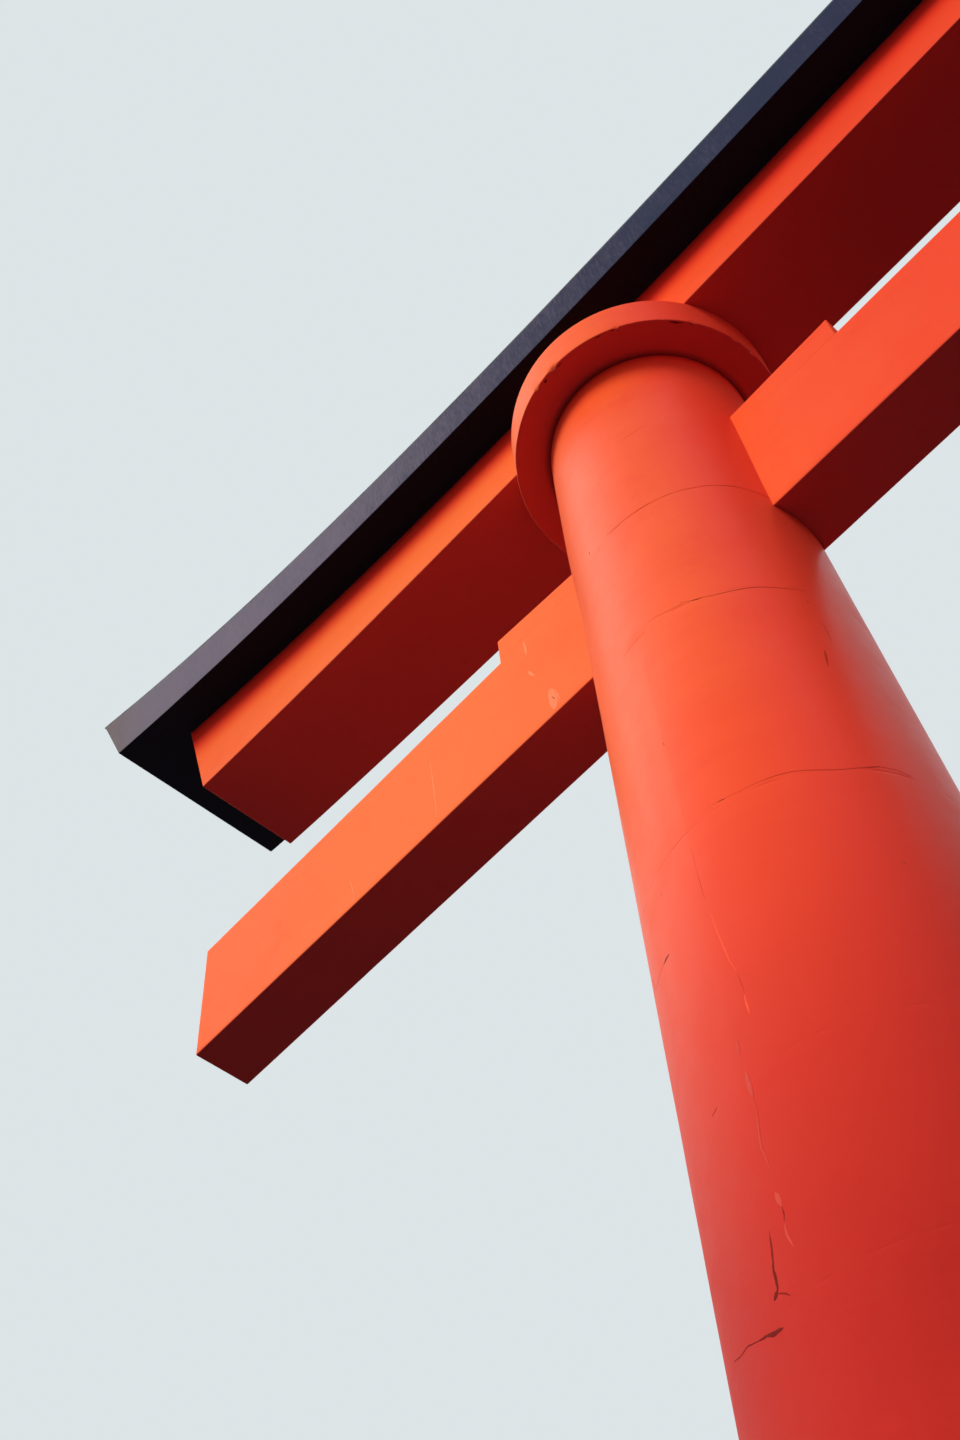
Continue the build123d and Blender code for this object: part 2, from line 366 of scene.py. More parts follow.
def beam_stations(count, ease, reach, rings=4):
    """Places along a beam from -1 to 1 with its end rings: s, the inset of the ring and its
    retreat from the end, which follow a quarter circle of the eased edge's radius."""
    turn = np.linspace(math.pi / 2, 0, rings)
    inset = ease * (1 - np.cos(turn))
    retreat = ease * (1 - np.sin(turn))
    inner = np.linspace(-1, 1, count) * (1 - 3 * ease / reach)
    return (np.concatenate([np.full(rings, -1.0), inner, np.full(rings, 1.0)]),
            np.concatenate([inset, np.zeros(count), inset[::-1]]),
            np.concatenate([retreat, np.zeros(count), retreat[::-1]]))


def carried_beam(low, high, half, reach, slant, count, across, up, gable=0.0):
    """A beam along X: each ring point is y = b (w - e) + (e - i) ny and z = low + e +
    a (h - 2e) + (e - i) nz, where e is the eased radius and i the end's inset, and its x
    grows with height by the end's slant. low, high and half give its form at x."""
    ease = sizes().ease
    b, a, ny, nz = eased_ring(across, up)
    s, inset, retreat = (part[:, None] for part in beam_stations(count, ease, reach))
    x = s * reach + 0 * b
    base = low(np.array(reach))
    for _ in range(BEAM_ROUNDS):
        bottom, top = low(x), high(x)
        roof = np.where(nz > 0.999, gable * (1 - np.abs(b)), 0)
        z = bottom + ease + a * (top - bottom - 2 * ease) + (ease - inset) * nz + roof
        x = s * (reach + slant * (z - base)) - np.sign(s) * retreat
    y = b * (half(x, a) - ease) + (ease - inset) * ny
    points = np.stack([x, y, z], axis=-1)
    shift = ripple(points)
    points[..., 1] += shift * ny
    points[..., 2] += shift * nz
    return closed_surface(points)


def level(value):
    """A height or half width that is the same all along a beam."""
    return lambda x, a=0: value + 0 * x


def straight_beam(box, count, across, up):
    """A beam that fills a box of the frame."""
    low, high = box
    return carried_beam(level(low[2]), level(high[2]), level(high[1]), high[0], 0, count, across, up)


def lintel_low(x):
    return LINTEL[0][2] + sweep(x, sizes().lintel_rise)


def crown_low(x):
    return CROWN[0][2] + sweep(x, sizes().crown_rise)


def eave_high(x):
    return CROWN[0][2] + sizes().crown_face + sweep(x, sizes().eave_rise)


def crown_reach():
    """Half length of the upper lintel's underside."""
    return PILLAR_AXIS + sizes().crown_overhang


def lintel_width(x, a):
    """Half width, which widens up the face by as much as the top does at x."""
    s = sizes()
    return s.lintel_half + a * sweep(x, s.lintel_widening)


def crown_width(x, a):
    """Half width at x, which grows with the height above the underside."""
    s = sizes()
    half = s.crown_half + sweep(x, s.crown_widening)
    return half + s.crown_flare * a * (eave_high(x) - crown_low(x))


def revolved(radii, heights, around, centre, form):
    """A profile turned round an upright axis. form gives changes of radius and height for each
    ring and angle."""
    angle = np.arange(around) * 2 * math.pi / around
    r = np.array(radii)[:, None] + 0 * angle
    z = np.array(heights)[:, None] + 0 * angle
    dr, dz = form(angle[None, :], r, z)
    return on_circle(angle, r + dr, z + dz, centre)


def pillar_radius(z):
    """Radius at a height: the taper's, and the swell of the head after 3t^2 - 2t^3."""
    t = np.clip((z - HEAD_FOOT) / HEAD_HEIGHT, 0, 1)
    return FOOT_RADIUS - TAPER * (z - lift_foot(1)) + sizes().head_swell * t * t * (3 - 2 * t)


def pillar_lift(side, number):
    """One cast lift: a tapering round whose ends keep a thin uneven groove at each joint. Its
    radius falls by depth times opening (1 - distance / half), and its rings wander by noise
    that fades with the distance from the joint."""
    s = sizes()
    low = lift_foot(number)
    high = lift_foot(number + 1) if number < LIFTS else PILLAR_TOP
    rows = np.concatenate([JOINT_RINGS, np.arange(0.1, high - low - 0.1, 0.05),
                           (high - low) - JOINT_RINGS[::-1]])
    joints = [(joint, place) for joint, place in ((number, low), (number + 1, high)) if 1 < joint <= LIFTS]

    def form(angle, r, z):
        dr = ripple(on_circle(angle, r, z))
        dz = np.zeros_like(z)
        for joint, place in joints:
            seed = 10 * joint + (side == "right")
            near = np.abs(z - place)
            opening = np.clip(0.45 + 0.5 * round_noise(angle, seed), 0.04, 1)
            depth = s.joint_depth * (1.0 if joint > LAST_FILLED_JOINT else 0.3)
            dr = dr - depth * opening * np.clip(1 - near / (GROOVE_HALF * opening), 0, 1)
            wander = s.joint_wander * round_noise(angle, seed + 5, 1, 9, 6)
            dz = dz + wander * np.clip(1 - near / WANDER_REACH, 0, 1)
        return dr, dz

    heights = low + rows
    return closed_surface(revolved(pillar_radius(heights), heights, s.around,
                                   SIDES[side] * PILLAR_AXIS, form))


def cut_mortise(piece, side):
    """Cuts the tie beam's and the wedges' seats out of a cast lift."""
    for node in ["tie_beam"] + [side + "_pillar_" + end + "_wedge" for end in SIDES]:
        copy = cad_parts[node].copy()
        copy.data = copy.data.copy()
        bpy.context.scene.collection.objects.link(copy)
        merge(copy.data)
        cut = piece.modifiers.new("seat", "BOOLEAN")
        cut.operation = "DIFFERENCE"
        cut.solver = "EXACT"
        cut.object = copy
        graph = bpy.context.evaluated_depsgraph_get()
        made = bpy.data.meshes.new_from_object(piece.evaluated_get(graph))
        piece.modifiers.clear()
        piece.data = made
        bpy.data.objects.remove(copy)


def merge(mesh):
    """Joins the loose triangles of a copied CAD mesh."""
    work = bmesh.new()
    work.from_mesh(mesh)
    bmesh.ops.remove_doubles(work, verts=work.verts, dist=1e-5)
    work.to_mesh(mesh)
    work.free()


# Materials


class Field:
    """A number that varies over a surface, with the operators that add Math nodes."""

    def __init__(self, shader, socket):
        self.shader = shader
        self.socket = socket

    def math(self, operation, first, second=None):
        values = {0: first} if second is None else {0: first, 1: second}
        return self.shader.field("ShaderNodeMath", {"operation": operation}, values)

    def __add__(self, other):
        return self.math("ADD", self, other)

    def __radd__(self, other):
        return self.math("ADD", other, self)

    def __sub__(self, other):
        return self.math("SUBTRACT", self, other)

    def __rsub__(self, other):
        return self.math("SUBTRACT", other, self)

    def __mul__(self, other):
        return self.math("MULTIPLY", self, other)

    def __rmul__(self, other):
        return self.math("MULTIPLY", other, self)

    def __truediv__(self, other):
        return self.math("DIVIDE", self, other)

    def __pow__(self, exponent):
        """Its power, or 0 where it is below 0."""
        return self.math("POWER", self.larger(0.0), exponent)

    def larger(self, other):
        return self.math("MAXIMUM", self, other)

    def size(self):
        return self.math("ABSOLUTE", self)

    def smooth(self, low, high):
        """0 below low and 1 above high, with a soft step between."""
        return self.shader.field("ShaderNodeMapRange", {"interpolation_type": "SMOOTHSTEP"},
                                 {0: self, 1: low, 2: high})


class Nodes:
    """A node tree. A node is added by its type, its settings, such as a ramp's stops, which are
    set first, and its sockets' values or links."""

    def __init__(self, tree):
        self.tree = tree

    def node(self, kind, settings=None, values=None):
        made = self.tree.nodes.new(kind)
        for name, value in (settings or {}).items():
            if name == "stops":
                self.set_stops(made.color_ramp.elements, value)
            else:
                setattr(made, name, value)
        for key, value in (values or {}).items():
            self.feed(made.inputs[key], value)
        return made

    def set_stops(self, stops, wanted):
        """Places and colours of a ramp's stops; a new ramp has two."""
        for index, (position, colour) in enumerate(wanted):
            if index == len(stops):
                stops.new(position)
            stops[index].position = position
            stops[index].color = colour

    def feed(self, socket, value):
        value = value.socket if isinstance(value, Field) else value
        if isinstance(value, bpy.types.NodeSocket):
            self.tree.links.new(value, socket)
        else:
            socket.default_value = value

    def seen(self):
        """1 for the rays that see the pale backdrop: the camera's, gloss and glass."""
        ray = self.node("ShaderNodeLightPath").outputs
        total = ray["Is Camera Ray"]
        for name in ("Is Glossy Ray", "Is Transmission Ray"):
            either = self.node("ShaderNodeMath", {"operation": "MAXIMUM"}, {0: total, 1: ray[name]})
            total = either.outputs[0]
        return total

    def shown(self, unseen, seen):
        """One shader for the rays that see the backdrop, and another for the light's."""
        return self.node("ShaderNodeMixShader", None, {0: self.seen(), 1: unseen, 2: seen}).outputs[0]


class Shader(Nodes):
    """One material: its Principled shader, the colour so far and the nodes that feed it."""

    def __init__(self, name, colour, shine=None):
        MATERIALS[name] = bpy.data.materials.new(name)
        MATERIALS[name].use_nodes = True
        super().__init__(MATERIALS[name].node_tree)
        self.surface = self.tree.nodes["Principled BSDF"]
        self.colour = colour
        if shine is not None:
            self.surface.inputs["Specular IOR Level"].default_value = shine

    @functools.cached_property
    def place(self):
        """Object coordinates."""
        return self.node("ShaderNodeTexCoord").outputs["Object"]

    def field(self, kind, settings=None, values=None, output=0):
        return Field(self, self.node(kind, settings, values).outputs[output])

    def axes(self):
        """The three parts of the place as fields."""
        parts = self.node("ShaderNodeSeparateXYZ", None, {0: self.place})
        return [Field(self, out) for out in parts.outputs]

    def noise(self, scale, detail=3.0, rough=0.55, vector=None):
        return self.field("ShaderNodeTexNoise", None, {
            "Vector": vector or self.place, "Scale": scale, "Detail": detail, "Roughness": rough})

    def drawn(self, scales, detail=3.0, rough=0.6):
        """Noise drawn out by a scale along each axis."""
        scaled = self.node("ShaderNodeMapping", None, {"Vector": self.place, "Scale": scales}).outputs[0]
        return self.noise(1.0, detail, rough, scaled)

    def paint(self, value):
        """A colour for a socket: a finish's name, three numbers or a socket."""
        if isinstance(value, str):
            value = tuple(getattr(finish(), value))
        return (*value, 1.0) if isinstance(value, tuple) else value

    def mix(self, amount, first, second):
        made = self.node("ShaderNodeMix", {"data_type": "RGBA"})
        for key, value in ((0, amount), (6, self.paint(first)), (7, self.paint(second))):
            self.feed(made.inputs[key], value)
        return made.outputs[2]

    def lay(self, colour, amount):
        """Lays a colour over the colour so far."""
        self.colour = self.mix(amount, self.colour, colour)

    def from_pillars(self):
        """Distance from the nearer pillar's axis."""
        x, y, _ = self.axes()
        along = x.size() - PILLAR_AXIS
        return y.math("SQRT", along * along + y * y)

    def sun_side(self):
        """Cosine of the angle round the nearer pillar from its lit side, where a highlight is painted."""
        x, y, _ = self.axes()
        across = x - x.math("SIGN", x) * PILLAR_AXIS
        return (across * -0.8 + y * -0.6) / self.from_pillars()

    def bump(self, height, distance, strength, below=None):
        values = {"Height": height, "Distance": distance, "Strength": strength}
        if below is not None:
            values["Normal"] = below
        return self.node("ShaderNodeBump", None, values).outputs[0]

    def done(self, roughness, normal=None):
        self.feed(self.surface.inputs["Base Color"], self.paint(self.colour))
        self.feed(self.surface.inputs["Roughness"], roughness)
        if normal is not None:
            self.feed(self.surface.inputs["Normal"], normal)


def vermilion_paint(name, gloss, shine, fade, streaks, sunned=0.0, shaded=0.0, shelter_and_shade=None,
                    crease=None, turned=False):
    """Vermilion paint on cast concrete: drifts of fade and depth, faint runs down the face,
    specks, the fine uneven skin of a rolled coat, and painted shade where a crease mask says.
    It also paints light and shade: a highlight on the pillars' lit side and shade on their far
    side, paler beam ends and darker beam middles, redder paint in the shade under the caps and
    the upper lintel, a darker, bluer tone on the undersides, and redder, darker lower pillars."""
    shader = Shader(name, "vermilion", shine)
    x, y, z = shader.axes()
    drift = shader.noise(0.8, 4.0).smooth(0.35, 0.68)
    patch = shader.noise(3.1, 4.0, 0.6).smooth(0.5, 0.78)
    runs = shader.drawn((9.0, 9.0, 0.35)).smooth(0.48, 0.75)
    bands = shader.drawn((0.7, 0.7, 5.5)).smooth(0.42, 0.72)
    grain = shader.noise(46.0, 3.0, 0.7)
    speck = shader.noise(17.0, 2.0, 0.5).smooth(0.77, 0.80)
    outward = x.size().smooth(3.2, 6.2) - x.size().smooth(6.6, 8.4) * 0.5
    inward = 1 - x.size().smooth(2.6, 4.4)
    front = 1 - y.smooth(-0.12, 0.17) * 0.75
    lower = 1 - z.smooth(5.0, 7.5)
    low = 1 - z.smooth(4.0, 6.8)
    shader.lay("vermilion_pale", drift * fade)
    shader.lay("vermilion_deep", patch * 0.4)
    shader.lay("vermilion_pale", runs * streaks)
    shader.lay("vermilion_deep", bands * 0.18)
    # Painted highlight towards the ends of the front faces, and painted shade towards the gate's middle
    shader.lay("vermilion_sunned", outward * front * sunned)
    shader.lay("vermilion_deep", inward * sunned * 1.1)
    if turned:
        # Painted highlight on the pillars' lit side, with the paler side of the mould's seam, and painted
        # shade on their far side
        sunny = shader.sun_side()
        seam = sunny.smooth(SEAM_COSINE - SEAM_EDGE, SEAM_COSINE + SEAM_EDGE) * 0.28
        seam = seam * z.smooth(6.0, 6.3) * (1 - z.smooth(7.4, 8.1))
        bleached = sunny.smooth(0.55, 1.05) * 0.7
        shader.lay("vermilion_bleached", bleached.larger(seam))
        shader.lay("vermilion_away", (1 - sunny.smooth(-0.25, 0.35)) * 0.9)
    # Painted shade: redder and darker towards the pillars' feet
    shader.lay("vermilion_lower", lower * 0.7)
    shader.lay("vermilion_low", low * (0.80 + drift * 0.12))
    # Paint kept from fading, and painted shade under the caps and the upper lintel
    if shelter_and_shade is not None:
        shader.lay("vermilion_eaves", shelter_and_shade(shader) * 0.95)
    shader.lay("vermilion_deep", (grain - 0.5) * 0.10 + 0.05)
    # Painted shade: the undersides' darker, bluer tone
    if shaded:
        shader.lay("vermilion_shaded", shaded + (grain - 0.5) * 0.2)
        # Painted shade: the lower lintel's underside darker towards the gate's middle
        shader.lay("grime", inward * z.smooth(9.6, 10.2) * 0.38)
    shader.lay((0.30, 0.020, 0.012), speck * 0.2)
    if crease is not None:
        # Painted shade laid in the crease that the mask gives
        shader.lay("grime", crease(shader) * (0.72 + (grain - 0.5) * 0.3))
    broad = shader.noise(12.0, 3.0, 0.5)
    skin = shader.bump(shader.noise(150.0, 2.0, 0.5), 0.0005, 0.5, shader.bump(broad, 0.0020, 0.35))
    shader.done(gloss + (broad - 0.5) * 0.16 + patch * 0.06 + low * 0.22, skin)


def under_caps(shader):
    """A mask on the pillars under their caps, fading downwards, where the caps' shade is painted."""
    return 0.75 * shader.axes()[2].smooth(PILLAR_TOP - 0.30, PILLAR_TOP - 0.02)


def under_eaves(shader):
    """1 on the lower lintel's faces at the upper lintel's underside, which rises as in sweep(). It reaches
    down through the upper lintel's cast shadow, where shade is painted.
    """
    s = sizes()
    x, _, z = shader.axes()
    outward = (x.size() - s.sweep_start) * (1 / (s.sweep_station - s.sweep_start))
    top = CROWN[0][2] + s.crown_rise * outward ** s.sweep_power
    return 1 - (top - z).smooth(0.12, 0.42)


def cap_crease(shader):
    """1 on the pillars close under their caps, where shade is painted into the crease."""
    return shader.axes()[2].smooth(PILLAR_TOP - 0.022, PILLAR_TOP)


def pillar_crease(shader):
    """1 on an underside close round a pillar, where shade is painted into the crease."""
    return 1 - shader.from_pillars().smooth(0.570, 0.625)


def crown_paint():
    """Dark weathered paint, whose blue tint is partly painted sky reflection: it pales to purple
    grey towards the gate's ends, by weathering and painted sheen, with fine upright streaks and
    boards' widths, and bleached drifts."""
    shader = Shader("weathered crown paint", "crown_dark", 0.12)
    outward = shader.axes()[0].size()
    fine = shader.drawn((85.0, 85.0, 2.2), 3.0, 0.65)
    wide = shader.drawn((7.0, 7.0, 0.7), 2.0, 0.5)
    drift = shader.noise(1.3, 4.0, 0.6)
    grit = shader.noise(120.0, 2.0, 0.6)
    # Weathering and painted sheen: paler towards the gate's ends
    worn = outward.smooth(2.6, 8.2) * 0.80 + (fine - 0.5) * 0.9 + (wide - 0.5) * 0.22
    worn = worn + (drift - 0.5) * 0.35 + 0.06
    shader.lay(shader.mix(outward.smooth(8.5, 9.1), "crown_worn", "crown_tip"), worn.smooth(0.0, 1.0))
    shader.lay((0.02, 0.02, 0.03), (grit - 0.5) * 0.25 + 0.1)
    shader.done(0.62 + (fine - 0.5) * 0.3, shader.bump(fine, 0.0020, 0.5, shader.bump(grit, 0.0008, 0.5)))


def sheet_metal():
    """Dark painted roof sheet with dulled drifts and rain runs down the slopes."""
    shader = Shader("roof sheet", (0.034, 0.038, 0.043))
    runs = shader.drawn((16.0, 1.2, 1.2))
    pale = (runs * 0.6 + shader.noise(1.7, 4.0, 0.6) * 0.4).smooth(0.42, 0.66)
    shader.lay((0.078, 0.084, 0.088), pale * 0.6)
    shader.surface.inputs["Metallic"].default_value = 0.35
    shader.done(0.42 + pale * 0.2, shader.bump(shader.noise(30.0, 2.0), 0.001, 0.4))


def foot_paint():
    """Black paint with dust and scuffs near the ground."""
    shader = Shader("foot paint", "foot")
    z = shader.axes()[2]
    scuff = shader.noise(7.0, 5.0, 0.65).smooth(0.55, 0.8)
    dust = (1 - z.smooth(0.3, 0.75)) * shader.noise(2.5, 4.0, 0.6).smooth(0.3, 0.7)
    shader.lay((0.16, 0.145, 0.13), dust * 0.5 + scuff * 0.14)
    shader.done(0.34 + scuff * 0.2 + dust * 0.3, shader.bump(shader.noise(60.0, 3.0), 0.0012, 0.5))


def granite_stone():
    """Grey granite: dark, white and pinkish grains, and a stained rim near the ground."""
    shader = Shader("granite", "granite")
    z = shader.axes()[2]
    grains = shader.field("ShaderNodeTexVoronoi", None, {"Vector": shader.place, "Scale": 95.0}, 1)
    tone = shader.field("ShaderNodeRGBToBW", None, {0: grains})
    light = tone.smooth(0.68, 0.85)
    shader.lay((0.30, 0.29, 0.265), shader.noise(2.2, 5.0, 0.6).smooth(0.35, 0.7) * 0.4)
    shader.lay((0.075, 0.072, 0.07), (1 - tone.smooth(0.10, 0.30)) * 0.72)
    shader.lay((0.62, 0.58, 0.55), light * 0.5)
    shader.lay((0.14, 0.125, 0.10), (1 - z.smooth(0.0, 0.09)) * 0.45)
    shader.done(0.72 + light * -0.15,
                shader.bump(tone, 0.0012, 0.6, shader.bump(shader.noise(24.0, 4.0), 0.004, 0.6)))


def mark_paint(name, first, second, roughness, shine):
    """Colour inside a crack, a chip or a scar, broken by fine noise."""
    shader = Shader(name, first, shine)
    part = shader.noise(70.0, 3.0, 0.6)
    shader.lay(second, part)
    shader.done(roughness, shader.bump(part, 0.0006, 0.5))


# Two colours, roughness and shine of each kind of mark, and of the upper lintel's underside
MARK_PAINTS = {
    "crown underside paint": ((0.006, 0.007, 0.012), (0.014, 0.014, 0.020), 0.8, 0.04),
    "fine crack": ((0.44, 0.032, 0.015), (0.64, 0.052, 0.020), 0.8, 0.1),
    "joint trace": ((0.80, 0.068, 0.023), (0.88, 0.080, 0.026), 0.6, 0.1),
    "low crack": ((0.20, 0.014, 0.012), (0.30, 0.018, 0.014), 0.8, 0.1),
    "open gouge": ((0.105, 0.010, 0.009), (0.24, 0.016, 0.010), 0.8, 0.1),
    "faint seam": ((0.64, 0.078, 0.058), (0.62, 0.060, 0.042), 0.6, 0.1),
    "bright seam": ((0.93, 0.112, 0.052), (0.92, 0.096, 0.042), 0.6, 0.1),
    "pale scar": ((0.97, 0.310, 0.150), (0.96, 0.255, 0.100), 0.6, 0.1),
    "pale patch": ((0.97, 0.265, 0.125), (0.96, 0.220, 0.080), 0.6, 0.1),
}


class TORII_OT_finishes(bpy.types.Operator):
    """Make the gate's paints, stone and metal"""
    bl_idname = "torii.finishes"
    bl_label = "Finishes"

    def execute(self, context):
        vermilion_paint(PILLAR_PAINT, 0.36, 0.10, 0.55, 0.22, shelter_and_shade=under_caps,
                        crease=cap_crease, turned=True)
        vermilion_paint(CAP_PAINT, 0.48, 0.08, 0.5, 0.12, sunned=0.75, turned=True)
        vermilion_paint(BEAM_PAINT, 0.48, 0.08, 0.5, 0.12, sunned=0.75, shelter_and_shade=under_eaves)
        vermilion_paint(SHADED_UNDERSIDE_PAINT, 0.6, 0.05, 0.0, 0.05, shaded=0.7, crease=pillar_crease)
        crown_paint()
        sheet_metal()
        foot_paint()
        granite_stone()
        for name, settings in MARK_PAINTS.items():
            mark_paint(name, *settings)
        return {"FINISHED"}


class TORII_OT_pillars(bpy.types.Operator):
    """Build the cast lifts of both pillars"""
    bl_idname = "torii.pillars"
    bl_label = "Pillars"

    def execute(self, context):
        for side in SIDES:
            for number in range(1, LIFTS + 1):
                node = side + "_pillar_lift_" + str(number)
                piece = add_piece(node + "_cast", pillar_lift(side, number), PILLAR_PAINT, (node,))
                if number >= FIRST_MORTISED:
                    cut_mortise(piece, side)
        return {"FINISHED"}


class TORII_OT_caps(bpy.types.Operator):
    """Build the round caps on the pillars"""
    bl_idname = "torii.caps"
    bl_label = "Pillar caps"

    # Chips in a cap's lower edge: seed, the noise above which they begin, depth, share of it upwards
    chip_seed, chip_from, chip_depth, chip_rise = 71, 1.25, 0.016, 0.7

    def execute(self, context):
        low, high = CAP[0][2], CAP[1][2]
        radius = (CAP[1][0] - CAP[0][0]) / 2
        ease = sizes().ease
        flat, tall, middle, rim = 14, 10, 0.05, 0.03
        turn = np.linspace(0, math.pi / 2, 5)
        radii = np.concatenate([
            np.linspace(middle, radius - rim, flat), radius - ease + ease * np.sin(turn),
            np.full(tall, radius), radius - ease + ease * np.cos(turn),
            np.linspace(radius - rim, middle, flat)])
        heights = np.concatenate([
            np.full(flat, low), low + ease - ease * np.cos(turn),
            np.linspace(low + 0.02, high - 0.02, tall), high - ease + ease * np.sin(turn),
            np.full(flat, high)])
        for side, direction in SIDES.items():
            def form(angle, r, z):
                edge = np.clip(1 - (radius - r) / 0.02, 0, 1) * np.clip(1 - (z - low) / 0.025, 0, 1)
                noise = round_noise(angle, self.chip_seed + direction, 9, 70, 24)
                chips = np.clip(noise - self.chip_from, 0, 1) * self.chip_depth * edge
                face = np.clip(1 - (radius - r) / 0.01, 0, 1)
                return ripple(on_circle(angle, r, z)) * face - chips, chips * self.chip_rise

            rings = revolved(radii, heights, sizes().around, direction * PILLAR_AXIS, form)
            add_piece(side + "_cap_cast", closed_surface(rings), CAP_PAINT, (side + "_pillar_cap",),
                      under=SHADED_UNDERSIDE_PAINT)
        return {"FINISHED"}


class TORII_OT_beams(bpy.types.Operator):
    """Build the tie beam, its wedges and the centre strut"""
    bl_idname = "torii.beams"
    bl_label = "Tie beam and wedges"

    # Gains of length and height over the frame's wedges, and the fall of their tops
    outer_wedge = (-0.022, 0.020, 0.086)
    inner_wedge = (0.021, -0.004, 0.036)

    def execute(self, context):
        add_piece("tie_beam_cast", straight_beam(TIE, 240, 8, 18), BEAM_PAINT, ("tie_beam",),
                  under=SHADED_UNDERSIDE_PAINT)
        for side in SIDES:
            for end in SIDES:
                self.wedge(side + "_pillar_" + end + "_wedge", SIDES[end], side == end)
        add_piece("centre_strut_cast", straight_beam(STRUT, 14, 8, 24), BEAM_PAINT, ("centre_strut",))
        return {"FINISHED"}

    def wedge(self, node, direction, outside):
        """A short tapering block with eased arrises: its top falls from its outer end inwards.
        The wedges outside the gateway are a little shorter and higher than those inside."""
        low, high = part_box(node)
        longer, higher, tip_drop = self.outer_wedge if outside else self.inner_wedge
        half = (high[0] - low[0] + longer) / 2

        def top(x):
            return high[2] + higher - tip_drop * (0.5 - 0.5 * direction * x / half)

        seat = low[2] - 2 * sizes().ease
        vertices, faces = carried_beam(level(seat), top, level(high[1]), half, 0, 24, 8, 6)
        vertices[:, 0] += (high[0] + low[0] + direction * longer) / 2
        add_piece(node + "_block", (vertices, faces), BEAM_PAINT, (node,))


class TORII_OT_lintels(bpy.types.Operator):
    """Build the two swept lintels"""
    bl_idname = "torii.lintels"
    bl_label = "Lintels"

    def execute(self, context):
        s = sizes()
        lintel = carried_beam(lintel_low, crown_low, lintel_width, PILLAR_AXIS + s.lintel_overhang,
                              s.lintel_slant, 260, 14, 14)
        add_piece("lower_lintel_cast", lintel, BEAM_PAINT, ("lower_lintel",), under=SHADED_UNDERSIDE_PAINT)
        crown = carried_beam(crown_low, lambda x: eave_high(x) - s.sheet, crown_width, crown_reach(),
                             s.crown_slant, 280, 18, 12, gable=s.roof_rise)
        add_piece("upper_lintel_body", crown, "weathered crown paint", ("upper_lintel_core",),
                  under="crown underside paint")
        return {"FINISHED"}


class TORII_OT_roof(bpy.types.Operator):
    """Build the roof sheets with their standing seams, and the ridge"""
    bl_idname = "torii.roof"
    bl_label = "Roof"

    # A standing seam's profile, and the stations between two seams as shares of their pitch
    seam_across = np.array([-0.008, -0.0065, 0.0065, 0.008])
    seam_up = np.array([0.0, 1.0, 1.0, 0.0])
    between = np.array([0.2, 0.35, 0.5, 0.65, 0.8])
    # Roof without seams at a tip, and how far from it the sheet follows the slanted end
    bare_end, slanted_end = 0.15, 0.3
    # Shares of a slope in which a seam rises at the ridge and falls at the eave
    seam_head, seam_tail = 0.1, 0.03

    def execute(self, context):
        for name, way in (("front", -1), ("back", 1)):
            add_piece("roof_" + name + "_sheets", closed_surface(self.slope(way)), "roof sheet",
                      ("roof_" + name + "_slope",))
        add_piece("roof_ridge_strip", self.ridge(), "roof sheet", ("roof_ridge",))
        return {"FINISHED"}

    def end_reach(self, up):
        """Where the slanted end plane meets the roof at a height over its eaves: x = reach +
        slant (z(x) - z of the underside at reach), solved by going round a few times."""
        reach = crown_reach()
        base = crown_low(np.array(reach))
        x = reach + 0 * up
        for _ in range(ROOF_ROUNDS):
            x = reach + sizes().crown_slant * (eave_high(x) + up - base)
        return x

    def seam_places(self, tip):
        """Stations along the roof: between seams, and four rings over each seam."""
        pitch = sizes().seam_pitch
        count = int((tip - self.bare_end) / pitch)
        seams = np.arange(-count, count + 1) * pitch
        plain = (seams[:-1, None] + self.between * pitch).ravel()
        x = np.concatenate([(seams[:, None] + self.seam_across).ravel(), plain, [-tip, tip]])
        up = np.concatenate([np.tile(self.seam_up, len(seams)), np.zeros(len(plain) + 2)])
        order = np.argsort(x)
        return x[order], up[order]

    def slope(self, way):
        """One roof slope as a closed sheet: the top is eave + rise (1 - v) + seam over the place
        across v, from the ridge at 0 to the eave at 1, and the underside lies a sheet lower."""
        s = sizes()
        tip = float(self.end_reach(0.0))
        x, seam = self.seam_places(tip)
        v = np.linspace(0, 1, 16)
        x = x[:, None] + 0 * v
        near_end = np.clip((np.abs(x) - tip) / self.slanted_end + 1, 0, 1)
        x = x + np.sign(x) * (self.end_reach(s.roof_rise * (1 - v)) - tip) * near_end
        y = way * crown_width(x, 1.0) * v
        roof = eave_high(x) + s.roof_rise * (1 - v)
        part = np.clip((1 - v) / self.seam_tail, 0, 1) * np.clip(v / self.seam_head, 0, 1)
        top = np.stack([x, y, roof + s.seam_height * seam[:, None] * part], axis=-1)
        under = np.stack([x, y, roof - s.sheet], axis=-1)
        return np.concatenate([top, under[:, ::-1]], axis=1)

    def ridge(self):
        """The ridge strip: it stands in the roof's top fifth and has a low gable of its own."""
        s = sizes()
        foot, gable = s.roof_rise * 0.8, s.ridge_height * 0.5
        return carried_beam(lambda x: eave_high(x) + foot, lambda x: eave_high(x) + s.roof_rise + gable,
                            level(s.ridge_half), float(self.end_reach(foot)), s.crown_slant, 260, 12, 5,
                            gable=gable)


